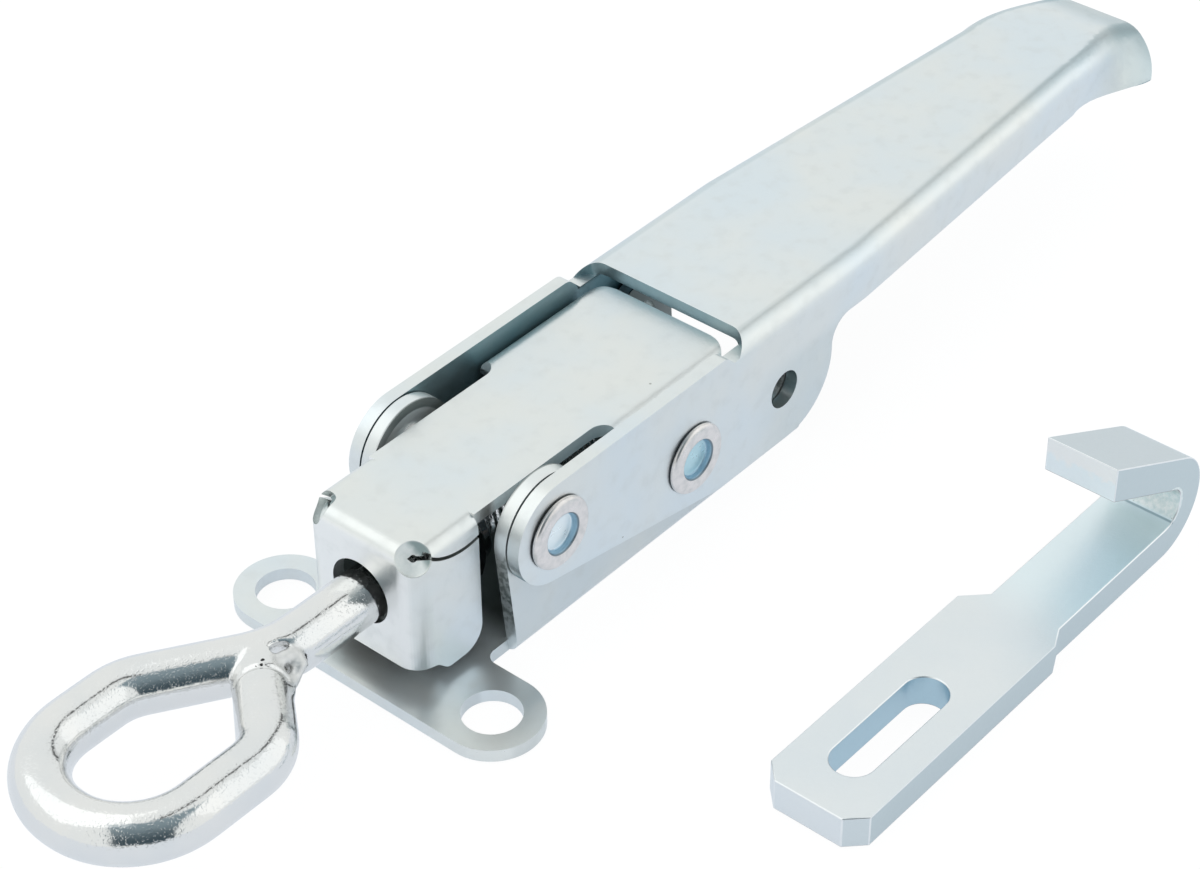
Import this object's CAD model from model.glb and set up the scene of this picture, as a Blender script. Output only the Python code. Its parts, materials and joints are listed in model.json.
# %% [markdown]
# # A zinc-plated toggle latch, dressed for the camera
# The solids of the latch come from the CAD model and stay where they are. This
# lesson loads them, breaks their sharp edges, adds the small forms that plating
# and welding leave behind, and gives every surface its own finish.

# %% Load the fixed frame
import json
import math

import bmesh
import bpy
from mathutils import Matrix, Vector


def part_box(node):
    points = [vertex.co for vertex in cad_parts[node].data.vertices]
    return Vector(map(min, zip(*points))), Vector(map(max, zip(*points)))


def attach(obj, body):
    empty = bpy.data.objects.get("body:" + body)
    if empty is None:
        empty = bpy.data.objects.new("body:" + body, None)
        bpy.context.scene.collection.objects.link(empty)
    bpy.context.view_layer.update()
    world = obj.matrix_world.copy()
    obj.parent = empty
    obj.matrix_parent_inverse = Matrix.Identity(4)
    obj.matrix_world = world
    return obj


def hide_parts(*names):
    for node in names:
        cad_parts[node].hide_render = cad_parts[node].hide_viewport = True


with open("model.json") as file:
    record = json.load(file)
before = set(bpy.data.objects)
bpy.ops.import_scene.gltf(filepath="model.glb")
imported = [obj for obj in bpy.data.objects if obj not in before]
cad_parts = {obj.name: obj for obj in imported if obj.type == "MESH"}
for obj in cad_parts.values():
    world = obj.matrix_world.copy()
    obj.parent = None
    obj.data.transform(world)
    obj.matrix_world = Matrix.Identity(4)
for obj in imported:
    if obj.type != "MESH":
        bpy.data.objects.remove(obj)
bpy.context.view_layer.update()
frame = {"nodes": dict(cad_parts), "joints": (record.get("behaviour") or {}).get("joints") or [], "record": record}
scene = bpy.context.scene
MM = 0.001
PIVOT, LINK, BOLT = (Vector(joint["pos_m"]) / MM for joint in frame["joints"])
print("nodes:", ", ".join(sorted(frame["nodes"])))

# %% [markdown]
# ## Writing shader maths as Python
# A finish is a graph of nodes. Adding each node by hand hides the idea behind
# the wiring, so one small class stands for a socket and turns plus, minus and
# the other signs into Math nodes. A square root or a maximum has no sign, so such
# functions go through one method.


# %% A socket that can be reckoned with
class Wire:
    """An output socket of a node tree; arithmetic on it adds Math nodes."""

    def __init__(self, tree, socket):
        self.tree = tree
        self.socket = socket

    def reckon(self, operation, first, second=None):
        node = self.tree.nodes.new("ShaderNodeMath")
        node.operation = operation
        for slot, value in zip(node.inputs, (first, second)):
            plug(self.tree, slot, value)
        return Wire(self.tree, node.outputs[0])

    def __add__(self, other):
        return self.reckon("ADD", self, other)

    def __radd__(self, other):
        return self.reckon("ADD", other, self)

    def __sub__(self, other):
        return self.reckon("SUBTRACT", self, other)

    def __rsub__(self, other):
        return self.reckon("SUBTRACT", other, self)

    def __mul__(self, other):
        return self.reckon("MULTIPLY", self, other)

    def __rmul__(self, other):
        return self.reckon("MULTIPLY", other, self)

    def __truediv__(self, other):
        return self.reckon("DIVIDE", self, other)

    def __lt__(self, other):
        return self.reckon("LESS_THAN", self, other)

    def __gt__(self, other):
        return self.reckon("GREATER_THAN", self, other)

    def __abs__(self):
        return self.reckon("ABSOLUTE", self)

    def function(self, operation, other=None):
        return self.reckon(operation, self, other)


print("wires ready")

# %% [markdown]
# ## Any other node
# Colours, textures and vectors have nodes of their own. Each has settings, which
# are set first because they change its sockets, and sockets, which take a plain
# value or a wire. So one short function can add any of them.


# %% Plug a value in, and add a node
def plug(tree, slot, value):
    """Links a wire into a socket, or sets the socket to a plain value."""
    if value is None:
        return
    if isinstance(value, Wire):
        tree.links.new(value.socket, slot)
    elif slot.type == "RGBA" and len(value) == 3:
        slot.default_value = (*value, 1.0)
    else:
        slot.default_value = value


def add_node(tree, kind, settings=None, sockets=None, out=0):
    """Any node: its settings first, then the values or links of its sockets."""
    node = tree.nodes.new(kind)
    for name, value in (settings or {}).items():
        setattr(node, name, value)
    for key, value in (sockets or {}).items():
        plug(tree, node.inputs[key], value)
    return Wire(tree, node.outputs[out])


def soft_step(tree, value, edge, soft):
    """0 below the edge and 1 above it, over a soft border."""
    return add_node(
        tree, "ShaderNodeMapRange", {"interpolation_type": "SMOOTHSTEP"},
        {"Value": value, "From Min": edge - soft / 2, "From Max": edge + soft / 2},
    )


print("node helpers ready")

# %% [markdown]
# ## The ground of every finish
# Zinc plating is a metal, so its colour is in its reflection. All the finishes
# here share one start: the place on the piece in millimetres, a slow clouding
# where the bath was uneven, a fine grain, and a few pinhead specks.


# %% A finish with its place, clouds, grain and specks
class Finish:
    """A material under way, with the place on the piece in millimetres."""

    def __init__(self, name):
        self.material = bpy.data.materials.new(name)
        self.material.use_nodes = True
        self.tree = self.material.node_tree
        self.shader = self.tree.nodes["Principled BSDF"]
        where = self.node("ShaderNodeTexCoord", out="Object")
        self.place = self.node(
            "ShaderNodeVectorMath", {"operation": "SCALE"}, {0: where, "Scale": 1 / MM}
        )
        self.x, self.y, self.z = self.split(self.place)
        self.side = abs(self.y)
        facing = self.split(self.node("ShaderNodeTexCoord", out="Normal"))
        self.forward, self.facing_z = -1 * facing[0], facing[2]
        self.outward = facing[1] * self.y.function("SIGN")
        self.inward = -1 * self.outward

    def node(self, kind, settings=None, sockets=None, out=0):
        return add_node(self.tree, kind, settings, sockets, out)

    def split(self, vector):
        return [
            self.node("ShaderNodeSeparateXYZ", None, {0: vector}, out=axis) for axis in "XYZ"
        ]

    def blend(self, share, first, second):
        """One colour fading into another as share goes from 0 to 1."""
        return self.node(
            "ShaderNodeMix", {"data_type": "RGBA"}, {0: share, 6: first, 7: second}, out=2
        )

    def step(self, value, edge, soft):
        return soft_step(self.tree, value, edge, soft)

    def below(self, value, edge, soft):
        return 1 - self.step(value, edge, soft)

    def measure(self, operation, first, second=None):
        """A number from one or two vectors, such as their distance."""
        return self.node(
            "ShaderNodeVectorMath", {"operation": operation}, {0: first, 1: second}, out="Value"
        )

    def about(self, centre):
        """How far across and up from a line along Y through a point, and the distance from it."""
        across, up = self.x - centre.x, self.z - centre.z
        return across, up, (across * across + up * up).function("SQRT")

    def noise(self, per_mm, detail=2.0):
        sockets = {"Vector": self.place, "Scale": per_mm, "Detail": detail}
        return self.node("ShaderNodeTexNoise", None, sockets, out="Fac")

    def specks(self, per_mm, reach, share):
        """Scattered dots: near a cell's middle, in the given share of the cells."""
        sockets = {"Vector": self.place, "Scale": per_mm}
        near = self.node("ShaderNodeTexVoronoi", None, sockets, out="Distance") < reach
        pick = self.node("ShaderNodeTexVoronoi", None, sockets, out="Color")
        return near * (self.split(pick)[0] < share)

    def bump(self, height, depth_mm):
        return self.node(
            "ShaderNodeBump", None,
            {"Height": height, "Distance": depth_mm * MM, "Strength": 1.0},
        )

    def done(self, colour, roughness, normal=None, metallic=1.0):
        for name, value in {
            "Base Color": colour, "Roughness": roughness, "Normal": normal, "Metallic": metallic
        }.items():
            plug(self.tree, self.shader.inputs[name], value)
        return self.material


print("finish class ready")

# %% [markdown]
# ## Bright zinc on folded sheet
# The base, lever and bracket are pressed from sheet and plated together. Outside
# they are pale and satin, faintly clouded between a warm and a cool white; the
# folded insides keep a dull film. Three separate graphs would repeat most of their
# nodes, so one function makes all three. It is given the film's place as a mask,
# and for the bracket also the marks that the press has left.


# %% Plated sheet
WARM, COOL = (0.80, 0.815, 0.79), (0.735, 0.80, 0.835)
GREY_FILM, BLUE_FILM = (0.10, 0.125, 0.12), (0.17, 0.31, 0.35)


def sheet_finish(name, film, film_colour=GREY_FILM, roughness=0.34, depth_mm=0.02, metal=1.0, marks=None):
    """Plated sheet; film and marks are functions of the finish that give its masks."""
    f = Finish(name)
    clouds = f.step(f.noise(0.055, 3.0), 0.5, 0.5)
    colour = f.blend(clouds, WARM, COOL)
    mark = marks(f) if marks else None
    if mark:
        colour = f.blend(0.9 * mark["front"], colour, (0.94, 0.94, 0.92))
    haze = f.step(f.noise(0.4, 4.0), 0.62, 0.3)
    colour = f.blend(haze * 0.25, colour, (0.68, 0.70, 0.69))
    dull = film(f)
    colour = f.blend(dull * (0.75 + 0.25 * clouds), colour, film_colour)
    colour = f.blend(f.specks(0.16, 0.035, 0.22) * 0.6, colour, (0.22, 0.22, 0.2))
    grain = f.noise(2.2, 3.0)
    rough = roughness + 0.10 * (grain - 0.5) + 0.08 * haze + 0.12 * dull
    height = grain + 2.0 * f.noise(0.25)
    if mark:
        pale = f.blend(grain, (0.74, 0.80, 0.79), (0.92, 0.94, 0.93))
        colour = f.blend(mark["dish"], colour, f.blend(mark["stain"], pale, (0.30, 0.38, 0.38)))
        colour = f.blend(mark["waist"], colour, (0.66, 0.78, 0.82))
        rough = rough + 0.12 * mark["dish"]
        metal = 1 - 0.5 * mark["dish"] - 0.7 * mark["waist"]
        height = height + mark["bowl"] / depth_mm
    return f.done(colour, rough, f.bump(height, depth_mm), metal)


print("sheet finish ready")

# %% [markdown]
# ## Where the film lies
# A mask made from the place on the piece, and from the way that a face looks,
# tells inside from outside. It could be painted on the mesh, but then it would be
# lost when the solid changes. Places are in millimetres from the latch's origin,
# fixed to the piece, so every line stays put when the lever swings.


# %% Film on the lever
TIP_START, TIP_TOP = 158.0, 26.0
HEEL_START, HEEL_END, HEEL_TOP = 64.0, 84.0, 19.0
WINDOW_SIDE = 40.0


def lever_film(f):
    """Faces inward or under the web, and the window's edge; tip, heel and bends are a little dulled."""
    inner = f.step(f.inward.function("MAXIMUM", -1 * f.facing_z), 0.45, 0.2)
    tip = f.step(f.x, TIP_START, 14.0) * f.below(f.z, TIP_TOP, 2.0)
    heel = f.step(f.x, HEEL_START, 10.0) * f.below(f.x, HEEL_END, 8.0) * f.below(f.z, HEEL_TOP, 4.0)
    bend = f.step(f.outward, 0.15, 0.2) * f.below(f.outward, 0.6, 0.3) * f.step(f.facing_z, 0.5, 0.3)
    dulled = 0.35 * tip + 0.14 * heel + (0.16 + 0.18 * f.step(f.x, 130.0, 60.0)) * bend
    window = 0.8 * f.step(f.forward, 0.7, 0.3) * (f.x > WINDOW_SIDE)
    return inner.function("MAXIMUM", dulled).function("MAXIMUM", window)


lever_zinc = sheet_finish("lever_zinc", lever_film, BLUE_FILM)
print("made", lever_zinc.name)

# %% [markdown]
# ## The base's trough
# Between its walls the base is dark, fading out towards the open ears. Where the
# lever's cheek rubs round the pivot the film is worn away, and the sheared front
# edges of the walls are blotchy. The outer walls are a shade darker than the lever.


# %% Film on the base
TROUGH_SIDE, TROUGH_FLOOR, TROUGH_FRONT = 11.4, 1.8, 13.0
WORN_RADIUS = 6.6
WALL_FOOT, LOBE_FRONT = 5.0, PIVOT.z - 1.0


def base_film(f):
    """The trough without its worn discs, the walls' front edges and their outer faces."""
    trough = f.below(f.side, TROUGH_SIDE, 0.3) * f.step(f.z, TROUGH_FLOOR, 0.2)
    trough = trough * f.step(f.x, TROUGH_FRONT, 6.0)
    unworn = f.step(f.about(PIVOT)[2], WORN_RADIUS, 0.3)
    outer = f.step(f.outward, 0.9, 0.1)
    edge = f.step(f.forward, 0.6, 0.3) * f.step(f.z, WALL_FOOT, 7.0) * f.below(f.z, LOBE_FRONT, 2.0)
    blotches = 0.4 + 0.5 * f.step(f.noise(1.2, 4.0), 0.5, 0.2)
    return (trough * unworn + 0.16 * outer).function("MAXIMUM", edge * blotches)


base_zinc = sheet_finish("base_zinc", base_film, roughness=0.30, depth_mm=0.004, metal=0.75)
print("made", base_zinc.name)

# %% [markdown]
# ## The bracket's press marks
# The bracket's box is folded from three sides, and a round dish is pressed in at
# each front corner where the bends meet. The dish itself is in the solid. Squeezed
# metal is matt and takes a stain, and a soft bump deepens the dish's middle.


# %% Film and marks on the bracket
BOX_REAR, PLATE_REAR, ROOF_UNDERSIDE = 9.0, -1.8, 23.6
BOX_HALF, LINK_HALF = 8.4, 11.3
WAIST_FRONT = 12.0
DISH, DISH_AXIS = Vector((-2.83, 9.03, 24.73)), Vector((-1, 1, 1)).normalized()
DISH_RADIUS, DISH_FLOOR = 2.3, -2.6
BOWL_DEPTH, BOWL_RADIUS = 0.7, math.sqrt(6.0)
STAIN_SIDE = Vector((0.80, 0.35, 0.49))


def bracket_film(f):
    """Under the roof, behind the front plate and between the flaps."""
    half = BOX_HALF + (LINK_HALF - BOX_HALF) * (f.x > BOX_REAR)
    return f.step(half - f.side, 0.0, 0.2) * f.below(f.z, ROOF_UNDERSIDE, 0.2) * f.step(f.x, PLATE_REAR, 0.2)


def bracket_marks(f):
    """Bright front, bare walls at the waist, and the matt dishes with their stain."""
    from_dish = f.node("ShaderNodeCombineXYZ", None, {0: f.x - DISH.x, 1: f.side - DISH.y, 2: f.z - DISH.z})
    along, far = f.measure("DOT_PRODUCT", from_dish, DISH_AXIS), f.measure("LENGTH", from_dish)
    radius = (far * far - along * along).function("SQRT")
    bowl = 1 - radius * radius / (BOWL_RADIUS * BOWL_RADIUS)
    above = along > DISH_FLOOR
    rearward = f.measure("DOT_PRODUCT", from_dish, STAIN_SIDE) + 0.8 * (f.noise(0.8) - 0.5)
    walls = f.below(abs(f.facing_z), 0.5, 0.2)
    return {
        "front": f.step(f.forward, 0.85, 0.2),
        "waist": f.step(f.z, ROOF_UNDERSIDE - 0.2, 0.3) * walls * f.step(f.x, WAIST_FRONT, 2.0),
        "dish": f.below(radius, DISH_RADIUS, 0.4) * above,
        "bowl": -BOWL_DEPTH * bowl.function("MAXIMUM", 0.0) * above,
        "stain": f.step(rearward, 0.7, 1.0),
    }


bracket_zinc = sheet_finish("bracket_zinc", bracket_film, marks=bracket_marks)
print("made", bracket_zinc.name)

# %% [markdown]
# ## Bare edges
# Where sheet is sheared and its edge broken, the plating is thickest and brightest,
# in faint streaks. An edge that looks down sees only the dark side of the latch.


# %% Edge finish
def edge_finish(name, colour, roughness):
    """Sheared and broken edges."""
    f = Finish(name)
    streak = f.noise(1.1, 2.0)
    colour = f.blend(streak, colour, (0.93, 0.94, 0.94))
    colour = f.blend(f.step(-1 * f.facing_z, 0.3, 0.3), colour, (0.40, 0.40, 0.40))
    return f.done(colour, roughness + 0.15 * streak)


edge_zinc = edge_finish("edge_zinc", (0.80, 0.83, 0.84), 0.26)
print("made", edge_zinc.name)

# %% [markdown]
# ## The keeper hook's bar
# The hook is cropped from flat bar and bent back. Its coat is paler and bluer than
# the sheet's, bluest on the slot's walls, with a burr across the beak's cropped end
# and a scuffed inner bend. Each of these is a mask laid over the coat in turn.


# %% Hook finish
HOOK_SLOT = next(
    Vector(mount["pos_m"]) / MM for mount in frame["record"]["mounts"] if mount["name"] == "hook_slot"
)
SLOT_REACH, SLOT_HALF = 11.4, 3.4
ARM_START, BEAK_FOOT = 60.0, 15.0
HOOK_BEND, BEND_REACH = Vector((85.6, 0, 8.4)), 3.9
CROP_SLOPE, BURR_LINE = math.radians(27), 52.3


def hook_finish(name):
    """Coat, arm, beak, long sides and slot first, then the cropped end, the inner bend and pits."""
    f = Finish(name)
    clouds = f.step(f.noise(0.06, 3.0), 0.5, 0.5)
    colour = f.blend(clouds, (0.77, 0.815, 0.84), (0.82, 0.845, 0.85))
    colour = f.blend(f.step(f.x, ARM_START, 12.0) * 0.8, colour, (0.82, 0.92, 0.95))
    beak_top = f.step(f.z, BEAK_FOOT, 2.0) * f.step(f.facing_z, 0.7, 0.2)
    colour = f.blend(beak_top, colour, (0.66, 0.71, 0.715))
    colour = f.blend(f.step(f.outward, 0.7, 0.2) * 0.9, colour, (0.56, 0.64, 0.66))
    in_slot = (abs(f.x - HOOK_SLOT.x) < SLOT_REACH) * (abs(f.y - HOOK_SLOT.y) < SLOT_HALF)
    colour = f.blend(in_slot * (abs(f.facing_z) < 0.5), colour, (0.50, 0.66, 0.74))
    grain = f.noise(1.6, 3.0)
    cropped = f.step(f.forward, 0.8, 0.1) * f.step(f.z, BEAK_FOOT, 1.0)
    height = math.sin(CROP_SLOPE) * f.x + math.cos(CROP_SLOPE) * f.z
    burr = f.step(height + 3.0 * (f.noise(0.8, 4.0) - 0.5), BURR_LINE, 1.2)
    colour = f.blend(cropped, colour, f.blend(burr, (0.90, 0.96, 0.98), (0.96, 0.965, 0.955)))
    across, up, reach = f.about(HOOK_BEND)
    in_bend = (reach < BEND_REACH) * (across > -0.5)
    scuffed = in_bend * f.step(up / reach, -0.8, 0.1)
    scuff = f.blend(f.step(grain, 0.5, 0.4), (0.72, 0.81, 0.81), (0.93, 0.96, 0.95))
    colour = f.blend(scuffed, colour, scuff)
    crease = in_bend * f.below(abs(up / reach + 0.86), 0.025, 0.03)
    colour = f.blend(crease * 0.8, colour, (0.30, 0.40, 0.44))
    worked = scuffed + cropped
    pits = f.specks(0.12, 0.04, 0.2) + f.specks(0.9, 0.16, 0.12) * worked
    colour = f.blend(pits.function("MINIMUM", 1.0) * 0.5, colour, (0.3, 0.3, 0.28))
    rough = 0.36 + 0.1 * (grain - 0.5) + 0.15 * worked
    return f.done(colour, rough, f.bump(grain + 2 * worked * grain, 0.03))


hook_zinc = hook_finish("hook_zinc")
print("made", hook_zinc.name)

# %% [markdown]
# ## The eyebolt's rod
# Drawn rod plates to nearly a mirror, with faint pimples in the coat. Close to the
# weld the heat has dulled it, and three small pits are left where the arms meet.


# %% Rod finish
WELD = Vector((-20.4, -4.0, 15.6))
WELD_PITS = ((-25.3, -2.3, 18.3), (-24.6, -2.7, 18.3), (-23.8, -2.2, 18.3))


def rod_finish(name):
    """Bright rod; the pits and the dull patch are found by their distance."""
    f = Finish(name)
    clouds = f.step(f.noise(0.12, 3.0), 0.5, 0.6)
    colour = f.blend(clouds, (0.83, 0.82, 0.80), (0.77, 0.78, 0.78))
    grain = f.noise(1.8, 4.0)
    for pit in WELD_PITS:
        ragged = f.measure("DISTANCE", f.place, pit) + 0.5 * (grain - 0.5)
        colour = f.blend(ragged < 0.3, colour, (0.05, 0.05, 0.05))
    pimples = f.step(f.noise(3.2, 2.0), 0.62, 0.16)
    height = 0.4 * grain + 3 * f.noise(0.35) + 0.6 * pimples
    dull = f.below(f.measure("DISTANCE", f.place, WELD), 3.0, 2.0)
    return f.done(colour, 0.11 + 0.05 * (grain - 0.4) + 0.4 * dull, f.bump(height, 0.02))


rod_zinc = rod_finish("rod_zinc")
print("made", rod_zinc.name)

# %% [markdown]
# ## Rivets and nylon
# A rivet's rolled ring is warm, its lip dark and its punched cup blue. Rings about
# the rivet's own axis tell them apart, so the same finish serves both sides of the
# latch. The nut's insert is plain pale nylon.


# %% Rivet and insert finishes
CUP_RADIUS, LIP_RADIUS, RING_RADIUS, RIM_RADIUS = 2.75, 3.14, 3.2, 5.3
RIM_SIDE = 15.75


def rivet_finish(name, axis, cup_floor):
    """Warm rolled ring, dark lip and blue cup, by the distance from the rivet's axis."""
    f = Finish(name)
    radius = f.about(axis)[2]
    grain = f.noise(0.9, 3.0)
    ring = f.step(radius, RING_RADIUS, 0.1)
    cup = f.blend(f.step(radius, CUP_RADIUS, 0.2), cup_floor, (0.34, 0.52, 0.65))
    warm = f.blend(f.step(grain, 0.55, 0.4), (0.83, 0.79, 0.77), (0.70, 0.68, 0.665))
    lip = 0.7 * f.below(abs(radius - LIP_RADIUS), 0.1, 0.1)
    under = f.step(radius, RIM_RADIUS, 0.1) * (f.side < RIM_SIDE)
    colour = f.blend(lip.function("MAXIMUM", under), f.blend(ring, cup, warm), (0.08, 0.09, 0.10))
    return f.done(colour, 0.24 + 0.1 * grain, f.bump(grain * ring, 0.01), 0.5 + 0.5 * ring)


def nylon_finish(name):
    """Moulded nylon, faintly mottled."""
    f = Finish(name)
    grain = f.noise(1.2, 3.0)
    colour = f.blend(grain, (0.62, 0.68, 0.76), (0.72, 0.76, 0.80))
    return f.done(colour, 0.5 + 0.1 * grain, f.bump(grain, 0.02), 0.0)


pivot_zinc = rivet_finish("pivot_zinc", PIVOT, (0.86, 0.94, 0.98))
link_zinc = rivet_finish("link_zinc", LINK, (0.54, 0.77, 0.85))
insert_nylon = nylon_finish("insert_nylon")
print("made", pivot_zinc.name, link_zinc.name, insert_nylon.name)

# %% [markdown]
# ## Working on a copy of a solid
# A solid comes in as loose triangles, and it must stay as it is. So a piece that
# needs more shape starts as a merged copy, with flat triangles joined into whole
# faces. Modifiers may then work on it, and their result is made a plain mesh.


# %% Copy, carry and settle
def merged_copy(name):
    """A plain mesh copy of a CAD node, its loose triangles joined up."""
    mesh = frame["nodes"][name].data.copy()
    shape = bmesh.new()
    shape.from_mesh(mesh)
    bmesh.ops.remove_doubles(shape, verts=shape.verts, dist=0.002 * MM)
    bmesh.ops.dissolve_limit(
        shape, angle_limit=math.radians(0.2), verts=shape.verts, edges=shape.edges
    )
    shape.to_mesh(mesh)
    shape.free()
    return mesh


def piece_from(mesh, name, *finishes):
    """A new object at the origin that carries a mesh and its finishes."""
    mesh.name = name
    mesh.materials.clear()
    for finish in finishes:
        mesh.materials.append(finish)
    piece = bpy.data.objects.new(name, mesh)
    scene.collection.objects.link(piece)
    return piece


def settle(piece):
    """Turns a piece's modifiers into plain mesh."""
    graph = bpy.context.evaluated_depsgraph_get()
    solid = bpy.data.meshes.new_from_object(piece.evaluated_get(graph))
    piece.modifiers.clear()
    piece.data = solid
    solid.name = piece.name


print("bench ready")

# %% [markdown]
# ## Breaking the edges
# Sheared sheet never has a razor edge: plating rounds it by a few tenths, and
# that thin rim is what catches the light. A bevel on every sharp edge gives it,
# with its own brighter finish. Weighted normals keep the wide faces flat, since
# the bevel's own would shade them as if they were domed.


# %% Dress a solid with broken edges
SHARP, BEVELLED = math.radians(30), math.radians(38)


def dress(node, piece_name, finish, edge, width_mm):
    """Replaces a CAD node by a copy with narrow bright bevels."""
    piece = piece_from(merged_copy(node), piece_name, finish, edge)
    piece.data.shade_smooth()
    piece.data.set_sharp_from_angle(angle=SHARP)
    bevel = piece.modifiers.new("edges", "BEVEL")
    bevel.width = width_mm * MM
    bevel.segments = 2
    bevel.limit_method = "ANGLE"
    bevel.angle_limit = BEVELLED
    bevel.material = 1
    bevel.use_clamp_overlap = True
    even = piece.modifiers.new("even", "WEIGHTED_NORMAL")
    even.mode = "FACE_AREA"
    even.weight = 90
    even.keep_sharp = True
    settle(piece)
    body = next(b for b, nodes in frame["record"]["behaviour"]["bodies"].items() if node in nodes)
    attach(piece, body)
    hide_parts(node)
    print(piece_name, "faces:", len(piece.data.polygons))


dress("lever", "lever_plated", lever_zinc, edge_zinc, 0.30)
dress("base_plate", "base_plated", base_zinc, edge_zinc, 0.30)
dress("draw_bracket", "bracket_plated", bracket_zinc, edge_zinc, 0.25)
dress("keeper_hook", "hook_plated", hook_zinc, edge_zinc, 0.35)

# %% [markdown]
# ## Pieces that keep their solids
# The nut and its insert have their rounds in the CAD model already, so only their
# finish is changed.

# %% Finish the nut and its insert
for node, finish in {"lock_nut": rod_zinc, "nut_insert": insert_nylon}.items():
    mesh = frame["nodes"][node].data
    mesh.materials.clear()
    mesh.materials.append(finish)
print("nut and insert finished")

# %% [markdown]
# ## Growing a mesh with Geometry Nodes
# What follows a rule is grown by a node tree. This helper makes a tree with
# named inputs, runs it on an empty mesh and hands back the plain result, since
# only a plain mesh can ride on a body.


# %% A small workshop for node trees
class Grower:
    """A geometry tree with named number inputs."""

    def __init__(self, name, sizes):
        self.tree = bpy.data.node_groups.new(name, "GeometryNodeTree")
        self.sizes = sizes
        self.tree.interface.new_socket("Mesh", in_out="OUTPUT", socket_type="NodeSocketGeometry")
        for size in sizes:
            self.tree.interface.new_socket(size, in_out="INPUT", socket_type="NodeSocketFloat")
        source = self.tree.nodes.new("NodeGroupInput")
        self.given = {size: Wire(self.tree, source.outputs[size]) for size in sizes}

    def node(self, kind, settings=None, sockets=None, out=0):
        return add_node(self.tree, kind, settings, sockets, out)

    def grow(self, name, mesh, finish):
        """Ends the tree, sets its inputs by identifier and returns a plain piece."""
        mesh = self.node("GeometryNodeRealizeInstances", None, {0: mesh})
        mesh = self.node("GeometryNodeSetMaterial", None, {"Geometry": mesh, "Material": finish})
        plug(self.tree, self.tree.nodes.new("NodeGroupOutput").inputs[0], mesh)
        piece = piece_from(bpy.data.meshes.new(name), name, finish)
        modifier = piece.modifiers.new("grow", "NODES")
        modifier.node_group = self.tree
        for item in self.tree.interface.items_tree:
            if item.in_out == "INPUT":
                modifier[item.identifier] = self.sizes[item.name]
        settle(piece)
        print(name, "grown with", len(piece.data.polygons), "faces")
        return piece


print("workshop ready")

# %% [markdown]
# ## Guide curves
# A rivet's outline and the weld's seam are smooth lines through a few places. A
# node tree can read such a line from a curve object, which is removed once the
# piece is grown. A NURBS line of order 3 stays close to its control points.


# %% Draw a guide curve
def guide_curve(name, points):
    """A smooth curve on control points in millimetres; it only feeds a node tree."""
    line = bpy.data.curves.new(name, "CURVE")
    line.dimensions = "3D"
    spline = line.splines.new("NURBS")
    spline.points.add(len(points) - 1)
    for point, place in zip(spline.points, points):
        point.co = (*(Vector(place) * MM), 1)
    spline.use_endpoint_u = True
    spline.order_u = 3
    guide = bpy.data.objects.new(name, line)
    scene.collection.objects.link(guide)
    return guide


print("guide curves ready")

# %% [markdown]
# ## A rivet's outline
# A tubular rivet is set by a punch that rolls its rim outward, so its head is a
# smooth ring round a cup. Its outline is a list of radius and height over the
# sheet. The head is the same on every rivet, and only the tail's height differs.


# %% Draw a rivet's outline
HEAD_HEIGHT, TAIL_THICKNESS = 1.0, 0.8
SHANK_RADIUS, TAIL_RADIUS, BORE_RADIUS = 2.97, 4.4, 1.9
HEAD_OUTLINE = (
    (0, -0.25), (1.4, -0.25), (2.6, -0.22), (2.9, -0.1), (2.93, 0.3), (3.0, 0.65), (3.25, 0.9),
    (3.7, 0.97), (4.25, 1.0), (4.85, 0.95), (5.35, 0.7), (5.5, 0.3), (5.4, 0.0), (5.4, 0.0),
)


def tail_outline(foot, tail):
    """Radius and height from under the head to the tail's bore; a point given twice is a corner."""
    shank, rim, inner, bore = SHANK_RADIUS, TAIL_RADIUS, BORE_RADIUS, tail - foot / 2
    return (
        (shank, 0.0), (shank, 0.0), (shank, foot), (shank, foot), (rim, foot), (rim, foot), (rim, tail),
        (rim - 0.4, tail), (inner, tail), (inner, tail), (inner, bore), (inner, bore), (0, bore),
    )


print("rivet head has", len(HEAD_OUTLINE), "outline points")

# %% [markdown]
# ## Rolled rivets
# The outline is drawn once as a curve, and a node tree rolls it round the rivet's
# axis and sets it on both sides of the latch. A lathe's spin would do for one
# rivet, but the tree keeps the pair alike, half a turn apart.


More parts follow.
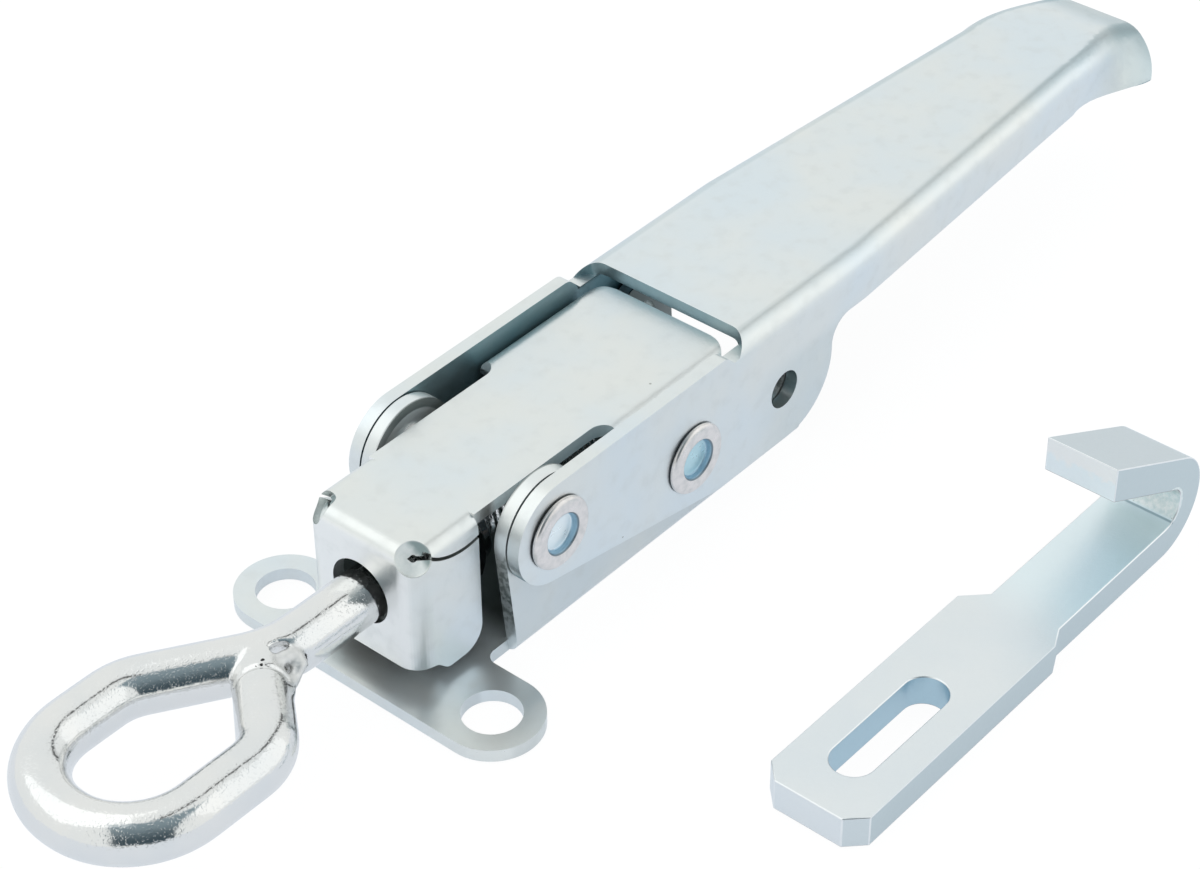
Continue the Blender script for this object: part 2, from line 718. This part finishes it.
# %% Roll the rivets
def roll_rivets(name, nodes, axis, body, finish):
    """Both rivets of one axis, rolled from one outline."""
    low, high = (corner.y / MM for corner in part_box(nodes[0]))
    face = high - HEAD_HEIGHT
    points = HEAD_OUTLINE + tail_outline(low + TAIL_THICKNESS - face, low - face)
    outline = guide_curve(name + "_outline", [(*point, 0) for point in points])
    roll = Grower(name, {"X": axis.x * MM, "Z": axis.z * MM, "Face": face * MM})
    sheet = roll.node("GeometryNodeMeshGrid", None, {
        "Size X": 1.0, "Size Y": 1.0, "Vertices X": 130, "Vertices Y": 65})
    spot = roll.node("GeometryNodeInputPosition")
    along, around = (roll.node("ShaderNodeSeparateXYZ", None, {0: spot}, out=a) for a in "XY")
    drawn = roll.node("GeometryNodeObjectInfo", None, {"Object": outline}, out="Geometry")
    section = roll.node("GeometryNodeSampleCurve", {"mode": "FACTOR"}, {
        "Curves": drawn, "Factor": along + 0.5}, out="Position")
    radius, height = (roll.node("ShaderNodeSeparateXYZ", None, {0: section}, out=a) for a in "XY")
    angle = around * (2 * math.pi)
    rolled = roll.node("ShaderNodeCombineXYZ", None, {
        0: radius * angle.function("COSINE"), 1: height + roll.given["Face"],
        2: radius * angle.function("SINE")})
    skin = roll.node("GeometryNodeSetPosition", None, {"Geometry": sheet, "Position": rolled})
    skin = roll.node("GeometryNodeMergeByDistance", None, {"Geometry": skin, "Distance": 0.001 * MM})
    place = roll.node("ShaderNodeCombineXYZ", None, {0: roll.given["X"], 2: roll.given["Z"]})
    pair = roll.node("GeometryNodeMeshLine", None, {
        "Count": 2, "Start Location": place, "Offset": (0, 0, 0)})
    turn = roll.node("ShaderNodeCombineXYZ", None, {2: roll.node("GeometryNodeInputIndex") * math.pi})
    heads = roll.node("GeometryNodeInstanceOnPoints", None, {
        "Points": pair, "Instance": skin, "Rotation": turn})
    piece = roll.grow(name, heads, finish)
    bpy.data.objects.remove(outline)
    shape = bmesh.new()
    shape.from_mesh(piece.data)
    bmesh.ops.recalc_face_normals(shape, faces=shape.faces)
    shape.to_mesh(piece.data)
    shape.free()
    piece.data.shade_smooth()
    piece.data.set_sharp_from_angle(angle=math.radians(40))
    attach(piece, body)
    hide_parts(*nodes)


roll_rivets("pivot_rivets", ("pivot_rivet_left", "pivot_rivet_right"), PIVOT, "base", pivot_zinc)
roll_rivets("link_rivets", ("link_rivet_left", "link_rivet_right"), LINK, "lever", link_zinc)

# %% [markdown]
# ## The thread
# The eyebolt's rear end is threaded. A ridge wound as a coil would work, but a
# sheet rolled round the axis whose radius rises and falls along the helix gives
# one clean skin. The plain rod is cut off where the thread starts.

# %% Roll the thread
THREAD_START, THREAD_PITCH = 1.0 * MM, 1.25 * MM
ROWS_PER_TURN = 10
thread_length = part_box("eyebolt")[1].x - THREAD_START
thread = Grower("thread_helix", {
    "Length": thread_length, "Pitch": THREAD_PITCH, "Core": 3.42 * MM, "Height": 0.56 * MM,
})
rows = int(thread_length / THREAD_PITCH * ROWS_PER_TURN)
sheet = thread.node("GeometryNodeMeshGrid", None, {
    "Size X": 1.0, "Size Y": 1.0, "Vertices X": rows, "Vertices Y": 41,
})
spot = thread.node("GeometryNodeInputPosition")
across, around = (thread.node("ShaderNodeSeparateXYZ", None, {0: spot}, out=a) for a in "XY")
along = (across + 0.5) * thread.given["Length"]
turn = (along / thread.given["Pitch"] - around).function("FRACT")
tooth = 1 - abs(2 * turn - 1)
crest = (tooth * 1.25).function("MINIMUM", 1.0)
fade = ((thread.given["Length"] - along) / thread.given["Pitch"] + 0.15).function("MINIMUM", 1.0)
radius = thread.given["Core"] + thread.given["Height"] * crest * fade
angle = around * (2 * math.pi)
rolled = thread.node("ShaderNodeCombineXYZ", None, {
    0: along + THREAD_START, 1: radius * angle.function("COSINE"),
    2: radius * angle.function("SINE") + BOLT.z * MM,
})
skin = thread.node("GeometryNodeSetPosition", None, {"Geometry": sheet, "Position": rolled})
skin = thread.node("GeometryNodeMergeByDistance", None, {"Geometry": skin, "Distance": 0.001 * MM})
thread_piece = thread.grow("eyebolt_thread", skin, rod_zinc)

# %% [markdown]
# ## The plain rod
# The rod of the eye is a copy of the solid, cut where the thread starts and capped.
# The cut has to be flat and square to the axis, which a bisecting plane gives.

# %% Cut the rod at the thread
rod = piece_from(merged_copy("eyebolt"), "eyebolt_rod", rod_zinc)
cut = bmesh.new()
cut.from_mesh(rod.data)
bmesh.ops.bisect_plane(
    cut, geom=cut.verts[:] + cut.edges[:] + cut.faces[:], dist=1e-7,
    plane_co=(THREAD_START, 0, 0), plane_no=(1, 0, 0), clear_outer=True,
)
bmesh.ops.holes_fill(cut, edges=[e for e in cut.edges if e.is_boundary])
bmesh.ops.triangulate(cut, faces=cut.faces)
cut.to_mesh(rod.data)
cut.free()
print("rod faces:", len(rod.data.polygons))

# %% [markdown]
# ## The weld
# The eye is closed by a weld where its free arm meets the shank. Weld metal runs
# in overlapping drops, so balls of slightly uneven size are set along a seam. The
# random sizes have a fixed seed, and the seam's places are given from the shank's
# own axis.

# %% Lay the drops along the seam
seam = guide_curve("weld_seam", [(x, y, BOLT.z + z) for x, y, z in (
    (-21.6, -2.5, 2.2), (-20.4, -2.6, 2.4), (-19.1, -2.7, 2.2), (-18.9, -3.4, 1.8), (-19.4, -4.0, 1.2),
    (-20.2, -4.5, 0.8), (-21.4, -4.7, 0.2), (-23.1, -5.5, 0.6), (-24.7, -6.8, 1.0),
)])
weld = Grower("weld_ripples", {
    "Drop": 1.2 * MM, "Spacing": 1.0 * MM, "Voxel": 0.25 * MM, "Swell": 0.3 * MM, "Crease": 0.22 * MM,
})
route = weld.node("GeometryNodeObjectInfo", None, {"Object": seam}, out="Geometry")
drops = weld.node("GeometryNodeCurveToPoints", {"mode": "LENGTH"}, {
    "Curve": route, "Length": weld.given["Spacing"],
})
drop = weld.node("GeometryNodeMeshIcoSphere", None, {"Radius": weld.given["Drop"], "Subdivisions": 3})
size = weld.node("FunctionNodeRandomValue", {"data_type": "FLOAT"}, {2: 0.8, 3: 1.1, "Seed": 7}, out=1)
ripples = weld.node("GeometryNodeInstanceOnPoints", None, {
    "Points": drops, "Instance": drop,
    "Scale": weld.node("ShaderNodeCombineXYZ", None, {0: size, 1: size, 2: size * 0.8}),
})
ripples = weld.node("GeometryNodeRealizeInstances", None, {0: ripples})
print("weld has", len(seam.data.splines[0].points), "places along its seam")

# %% [markdown]
# ## Melting rod and weld together
# Molten metal flows into the rod, so drops and rod are filled into one volume and
# skinned together; a plain union would leave hard creases. A filled volume fades
# inward from its wall, so all of it is first swollen by as much as the skin is
# then set below the wall. A blur of the skin's points takes the steps off.


# %% Melt rod and drops into one skin
def offset(mesh, amount):
    """Moves a mesh's points along their normals."""
    normal = weld.node("GeometryNodeInputNormal")
    away = weld.node("ShaderNodeVectorMath", {"operation": "SCALE"}, {0: normal, "Scale": amount})
    return weld.node("GeometryNodeSetPosition", None, {"Geometry": mesh, "Offset": away})


rod_mesh = weld.node("GeometryNodeObjectInfo", None, {"Object": rod}, out="Geometry")
union = weld.tree.nodes.new("GeometryNodeMeshBoolean")
union.operation, union.solver = "UNION", "EXACT"
union.inputs["Self Intersection"].default_value = True
for mesh in (ripples, rod_mesh):
    weld.tree.links.new(offset(mesh, weld.given["Swell"]).socket, union.inputs["Mesh 2"])
melt = weld.node("GeometryNodeMeshToVolume", {"resolution_mode": "VOXEL_SIZE"}, {
    "Mesh": Wire(weld.tree, union.outputs["Mesh"]), "Voxel Size": weld.given["Voxel"],
    "Interior Band Width": MM,
})
skin = weld.node("GeometryNodeVolumeToMesh", {"resolution_mode": "VOXEL_SIZE"}, {
    "Volume": melt, "Voxel Size": weld.given["Voxel"], "Threshold": weld.given["Swell"] / MM,
})
spot = weld.node("GeometryNodeInputPosition")
eased = weld.node("GeometryNodeBlurAttribute", {"data_type": "FLOAT_VECTOR"}, {
    "Value": spot, "Iterations": 8,
})
skin = weld.node("GeometryNodeSetPosition", None, {"Geometry": skin, "Position": eased})
print("weld tree has", len(weld.tree.nodes), "nodes")

# %% [markdown]
# ## The crease across the arm
# The free arm keeps its own rounded end, and a shallow crease shows where it lies
# under the weld. It is a bent line across the arm, so the skin's points are moved
# inward by their distance from that line, in the arm's own directions.

# %% Press the crease and grow the eye
ARM_ROOT, ARM_TURN = -22.6, math.radians(229.5)
CREASE_BACK, CREASE_BOW, CREASE_HALF = 3.6, 0.05, 3.6
x, y, z = (weld.node("ShaderNodeSeparateXYZ", None, {0: spot}, out=axis) / MM for axis in "XYZ")
back = math.cos(ARM_TURN) * (x - ARM_ROOT) + math.sin(ARM_TURN) * y
aside = math.cos(ARM_TURN) * y - math.sin(ARM_TURN) * (x - ARM_ROOT)
off_crease = abs(back - CREASE_BACK - CREASE_BOW * aside * aside)
crease = (1 - soft_step(weld.tree, off_crease, 0.35, 0.6)) * (z > BOLT.z) * (abs(aside) < CREASE_HALF)
skin = offset(skin, -1 * crease * weld.given["Crease"])
skin = weld.node("GeometryNodeSetShadeSmooth", None, {"Geometry": skin})
eye_piece = weld.grow("eyebolt_eye", skin, rod_zinc)
for spent in (seam, rod):
    bpy.data.objects.remove(spent)

# %% [markdown]
# ## The eyebolt as one piece
# Thread and eye are joined, so that one mesh stands for the whole bolt. The
# thread's open ends are closed, and its rolled faces are turned outward.

# %% Join eye and thread
bolt = bmesh.new()
for part in (eye_piece, thread_piece):
    bolt.from_mesh(part.data)
    bpy.data.objects.remove(part)
bmesh.ops.holes_fill(bolt, edges=[e for e in bolt.edges if e.is_boundary])
bmesh.ops.recalc_face_normals(bolt, faces=bolt.faces)
mesh = bpy.data.meshes.new("eyebolt_plated")
bolt.to_mesh(mesh)
bolt.free()
eyebolt = piece_from(mesh, "eyebolt_plated", rod_zinc)
eyebolt.data.shade_smooth()
eyebolt.data.set_sharp_from_angle(angle=math.radians(40))
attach(eyebolt, "eyebolt")
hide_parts("eyebolt")
print("eyebolt faces:", len(mesh.polygons))

# %% [markdown]
# ## The camera
# The photograph was taken from the front left and above with a long lens. Its
# place and lens were worked out from known points of the latch, and its small
# shift comes from the picture's crop.

# %% Set the camera
CAMERA_PLACE = Vector((-0.2105, -0.2201, 0.2796))
RIGHT, UP = Vector((0.6446, -0.7645, -0.0041)), Vector((0.4778, 0.3986, 0.7828))
VIEW_AXES = (RIGHT, UP, RIGHT.cross(UP))
camera = bpy.data.objects.new("photo_camera", bpy.data.cameras.new("photo_camera"))
turned = Matrix(VIEW_AXES).transposed().to_4x4()
camera.matrix_world = Matrix.Translation(CAMERA_PLACE) @ turned
camera.data.sensor_width = 36.0
camera.data.lens = 90.54
camera.data.shift_x, camera.data.shift_y = -0.0149, 0.0007
camera.data.clip_start, camera.data.clip_end = 0.01, 20.0
scene.collection.objects.link(camera)
scene.camera = camera
print("camera", [round(v, 4) for v in camera.location])

# %% [markdown]
# ## The table
# A white floor stands for a photographer's table. Metal shows what surrounds it,
# so the floor is a cool white in reflections. To the camera it is nearly pure
# white, with a tenth of matt paint left in so that it still takes the shadow.


# %% Lay the floor
def add_floor():
    """A wide pale floor just under the part: white to the camera, cool in reflections."""
    bpy.ops.mesh.primitive_plane_add(size=6.0, location=(0, 0, -0.0004))
    floor = bpy.context.object
    floor.name = "table"
    paint = bpy.data.materials.new("table_white")
    paint.use_nodes = True
    tree = paint.node_tree
    tree.nodes.clear()
    ray = {name: add_node(tree, "ShaderNodeLightPath", out=name)
           for name in ("Is Camera Ray", "Is Glossy Ray")}
    matt = add_node(tree, "ShaderNodeBsdfDiffuse", None, {"Color": (0.85, 0.86, 0.87)})
    white = add_node(tree, "ShaderNodeEmission", None, {"Color": (1.0, 1.0, 1.0), "Strength": 1.04})
    cool = add_node(tree, "ShaderNodeEmission", None, {"Color": (0.86, 0.92, 1.0), "Strength": 0.95})
    seen = add_node(tree, "ShaderNodeMixShader", None, {0: ray["Is Camera Ray"] * 0.9, 1: matt, 2: white})
    seen = add_node(tree, "ShaderNodeMixShader", None, {0: ray["Is Glossy Ray"] * 0.75, 1: seen, 2: cool})
    plug(tree, tree.nodes.new("ShaderNodeOutputMaterial").inputs["Surface"], seen)
    floor.data.materials.append(paint)


add_floor()
print("floor ready")

# %% [markdown]
# ## The room
# The room is white to the camera. In reflections, a narrow dark gap overhead, as
# between two lit panels, draws the dark line along the round rod. The end of the
# room behind the photograph's camera is dark, and metal that faces it mirrors it.


# %% Build the room
GAP_SLOPE, GAP_OFFSET, GAP_HALF = 0.36, 0.214, 0.05
DARK_MIDDLE, DARK_REACH = (0.17, 0.05), (0.42, 0.62)


def add_world():
    """White to the camera; to the metal, a bright room with a gap overhead and a dark end."""
    world = bpy.data.worlds.new("studio")
    scene.world = world
    world.use_nodes = True
    tree = world.node_tree
    tree.nodes.clear()
    camera = add_node(tree, "ShaderNodeLightPath", out="Is Camera Ray")
    glossy = add_node(tree, "ShaderNodeLightPath", out="Is Glossy Ray")
    ray = add_node(tree, "ShaderNodeTexCoord", out="Generated")
    across, along = (add_node(tree, "ShaderNodeSeparateXYZ", None, {0: ray}, out=a) for a in "XY")
    off_gap = abs(along - GAP_SLOPE * across + GAP_OFFSET)
    gap = (1 - soft_step(tree, off_gap, GAP_HALF, 0.03)) * (across > 0.0)
    dot = {"operation": "DOT_PRODUCT"}
    right, up, back = (
        add_node(tree, "ShaderNodeVectorMath", dot, {0: ray, 1: axis}, out="Value") for axis in VIEW_AXES
    )
    inside = [
        1 - soft_step(tree, abs(way - middle), reach, 0.06)
        for way, middle, reach in zip((right, up), DARK_MIDDLE, DARK_REACH)
    ]
    behind = inside[0] * inside[1] * (back > 0.2) * glossy
    level = 0.95 - 0.85 * gap * glossy
    wall = add_node(tree, "ShaderNodeMix", {"data_type": "RGBA"}, {
        0: soft_step(tree, up, 0.1, 1.0), 6: (0.06, 0.09, 0.11), 7: (0.26, 0.34, 0.38)}, out=2)
    bright = add_node(tree, "ShaderNodeMix", {"data_type": "RGBA"}, {
        0: behind, 6: (0.97, 1.0, 1.0), 7: wall}, out=2)
    room = add_node(tree, "ShaderNodeBackground", None, {"Color": bright, "Strength": level})
    white = add_node(tree, "ShaderNodeBackground", None, {"Color": (1.0, 1.0, 1.0), "Strength": 1.0})
    mixed = add_node(tree, "ShaderNodeMixShader", None, {0: camera, 1: room, 2: white})
    plug(tree, tree.nodes.new("ShaderNodeOutputWorld").inputs["Surface"], mixed)


add_world()
print("room ready")

# %% [markdown]
# ## Soft boxes
# Two large lamps give the shadow its direction: a key high on the left, and a
# weaker fill on the right. They are large so that no lamp shows as a hard spot in
# the plating.


# %% Hang the soft boxes
def soft_box(name, place, aim, size, watts):
    """A square area lamp at a place, facing a point, both in metres."""
    lamp = bpy.data.lights.new(name, "AREA")
    lamp.size = size
    lamp.energy = watts
    box = bpy.data.objects.new(name, lamp)
    box.location = place
    box.rotation_euler = (Vector(aim) - Vector(place)).to_track_quat("-Z", "Y").to_euler()
    scene.collection.objects.link(box)


soft_box("key_box", (-0.25, 0.35, 0.7), (0.05, 0, 0), 0.8, 0.7)
soft_box("fill_box", (0.5, -0.5, 0.45), (0.05, 0, 0), 0.8, 0.4)
scene.view_settings.view_transform = "Standard"

# %% [markdown]
# ## Closing
# The dressed part must not outgrow the solids, so both boxes are written down
# before the frame is checked.

# %% Write both boxes and finish
print("both boxes written")
